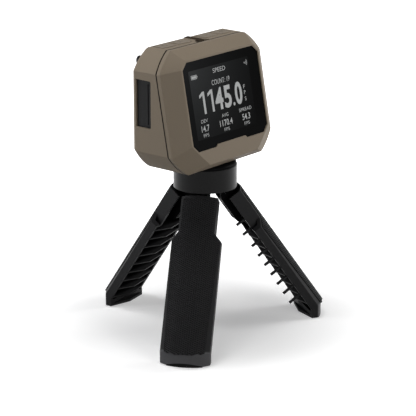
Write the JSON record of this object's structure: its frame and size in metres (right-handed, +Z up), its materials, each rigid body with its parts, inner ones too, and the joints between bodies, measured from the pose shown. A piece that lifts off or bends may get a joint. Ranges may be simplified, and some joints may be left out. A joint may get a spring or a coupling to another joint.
{
  "type": "launch monitor",
  "caption": "Pocket radar speed meter with a leaning screen, top buttons and side port door, on a folding mini tripod with ribbed legs and a locking collar.",
  "frame": {"origin": "centre of the bounding box on the floor the feet stand on", "axes": "+X to the right of the screen as its user sees it, the screen faces -Y, +Z up"},
  "size_m": [0.1136, 0.1026, 0.1491],
  "materials": {
    "tan_shell": "fine matt moulded",
    "button_cap": "matt",
    "gasket_rubber": "matt",
    "screen_glass": "glossy",
    "panel": "smooth",
    "circuit": "satin",
    "battery_wrap": "satin",
    "radome": "matt",
    "port_metal": "satin",
    "buzzer_can": "satin",
    "brass_insert": "machined",
    "screw_steel": "satin",
    "door_rubber": "matt",
    "lanyard": "satin",
    "ring_satin": "satin",
    "stand_black": "satin",
    "grip_rubber": "matt",
    "leg_nylon": "satin, with a fine diamond knurl on the outer face",
    "core_black": "satin",
    "foot_rubber": "matt"
  },
  "bodies": {
    "base": {"hub": "stand_black", "hub_retainer": "stand_black"},
    "collar": {"lock_ring": "ring_satin"},
    "pan": {"seat_cup": "stand_black", "pan_clip": "screw_steel"},
    "meter": {"level_plate": "stand_black", "plate_pad": "grip_rubber", "clamp_washer": "screw_steel", "clamp_nut": "screw_steel", "camera_screw": "screw_steel", "rear_case": "tan_shell", "front_bezel": "tan_shell", "seam_gasket": "gasket_rubber", "sight_rib": "stand_black", "display_glass": "screen_glass", "display_panel": "panel", "main_board": "circuit", "battery": "battery_wrap", "radar_board": "circuit", "radar_window": "radome", "usb_port": "port_metal", "buzzer": "buzzer_can", "tripod_insert": "brass_insert", "case_screws": "screw_steel", "switch_strip": "circuit", "door_pin": "screw_steel", "lanyard_post": "lanyard"},
    "door": {"port_door": "door_rubber"},
    "leg_rear": {"leg_rear_shell": "leg_nylon", "leg_rear_core": "core_black", "leg_rear_pin": "screw_steel", "leg_rear_screws": "screw_steel", "leg_rear_foot": "foot_rubber"},
    "leg_front_left": {"leg_front_left_shell": "leg_nylon", "leg_front_left_core": "core_black", "leg_front_left_pin": "screw_steel", "leg_front_left_screws": "screw_steel", "leg_front_left_foot": "foot_rubber"},
    "leg_front_right": {"leg_front_right_shell": "leg_nylon", "leg_front_right_core": "core_black", "leg_front_right_pin": "screw_steel", "leg_front_right_screws": "screw_steel", "leg_front_right_foot": "foot_rubber"},
    "button_power": {"button_power": "button_cap"},
    "button_back": {"button_back": "button_cap"},
    "button_down": {"button_down": "button_cap"},
    "button_ok": {"button_ok": "button_cap"}
  },
  "joints": [
    {"name": "collar_turn", "type": "hinge", "parent": "base", "child": "collar", "pos_m": [0, -0.01158, 0.08], "axis": [0, 0, 1], "range_deg": [-45, 45]},
    {"name": "head_pan", "type": "hinge", "parent": "base", "child": "pan", "pos_m": [0, -0.01158, 0.08], "axis": [0, 0, 1], "continuous": true},
    {"name": "head_tilt", "type": "hinge", "parent": "pan", "child": "meter", "pos_m": [0, -0.01158, 0.1112], "axis": [1, 0, 0], "range_deg": [-6, 6]},
    {"name": "port_door_hinge", "type": "hinge", "parent": "meter", "child": "door", "pos_m": [-0.0369, -0.00053, 0.1225], "axis": [0, 0, -1], "range_deg": [0, 90]},
    {"name": "leg_rear_fold", "type": "hinge", "parent": "base", "child": "leg_rear", "pos_m": [0, -0.00258, 0.0717], "axis": [-1, 0, 0], "range_deg": [0, 33]},
    {"name": "leg_front_left_fold", "type": "hinge", "parent": "base", "child": "leg_front_left", "pos_m": [-0.00779, -0.01608, 0.0717], "axis": [0.5, -0.866, 0], "range_deg": [0, 33]},
    {"name": "leg_front_right_fold", "type": "hinge", "parent": "base", "child": "leg_front_right", "pos_m": [0.00779, -0.01608, 0.0717], "axis": [0.5, 0.866, 0], "range_deg": [0, 33]},
    {"name": "button_power_press", "type": "slide", "parent": "meter", "child": "button_power", "axis": [0, 0, -1], "range_m": [0, 0.0006], "stiffness_N_per_m": 800},
    {"name": "button_back_press", "type": "slide", "parent": "meter", "child": "button_back", "axis": [0, 0, -1], "range_m": [0, 0.0006], "stiffness_N_per_m": 800},
    {"name": "button_down_press", "type": "slide", "parent": "meter", "child": "button_down", "axis": [0, 0, -1], "range_m": [0, 0.0006], "stiffness_N_per_m": 800},
    {"name": "button_ok_press", "type": "slide", "parent": "meter", "child": "button_ok", "axis": [0, 0, -1], "range_m": [0, 0.0006], "stiffness_N_per_m": 800}
  ]
}
